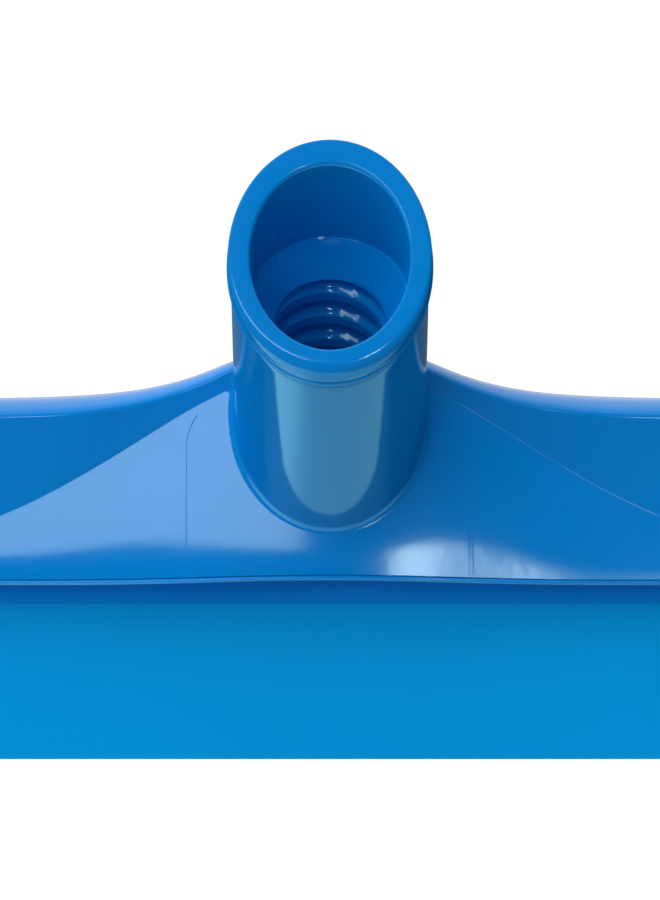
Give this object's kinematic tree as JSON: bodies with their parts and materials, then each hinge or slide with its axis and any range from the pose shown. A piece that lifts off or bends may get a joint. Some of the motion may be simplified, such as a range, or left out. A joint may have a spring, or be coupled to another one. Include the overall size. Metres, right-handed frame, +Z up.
{
  "type": "floor squeegee head",
  "caption": "Long wing-shaped floor squeegee head with an angled, threaded handle socket, a slide-in cassette rail and a soft wiper blade.",
  "frame": {"origin": "middle of the blade's lower edge, where it meets the floor", "axes": "+Z up from the floor to the wing's top, +X along the blade, -Y to the front, the side that the handle socket leans to"},
  "size_m": [0.4, 0.0672, 0.1406],
  "materials": {
    "frame": "glossy moulded blue polypropylene",
    "rail": "satin moulded blue polypropylene",
    "blade": "satin blue thermoplastic rubber"
  },
  "bodies": {
    "frame": {"socket_frame": "frame"},
    "cassette": {"cassette_rail": "rail", "wiper_blade": "blade"}
  },
  "joints": [
    {"name": "cassette_slide", "type": "slide", "parent": "frame", "child": "cassette", "axis": [1, 0, 0], "range_m": [-0.38, 0.38]}
  ]
}
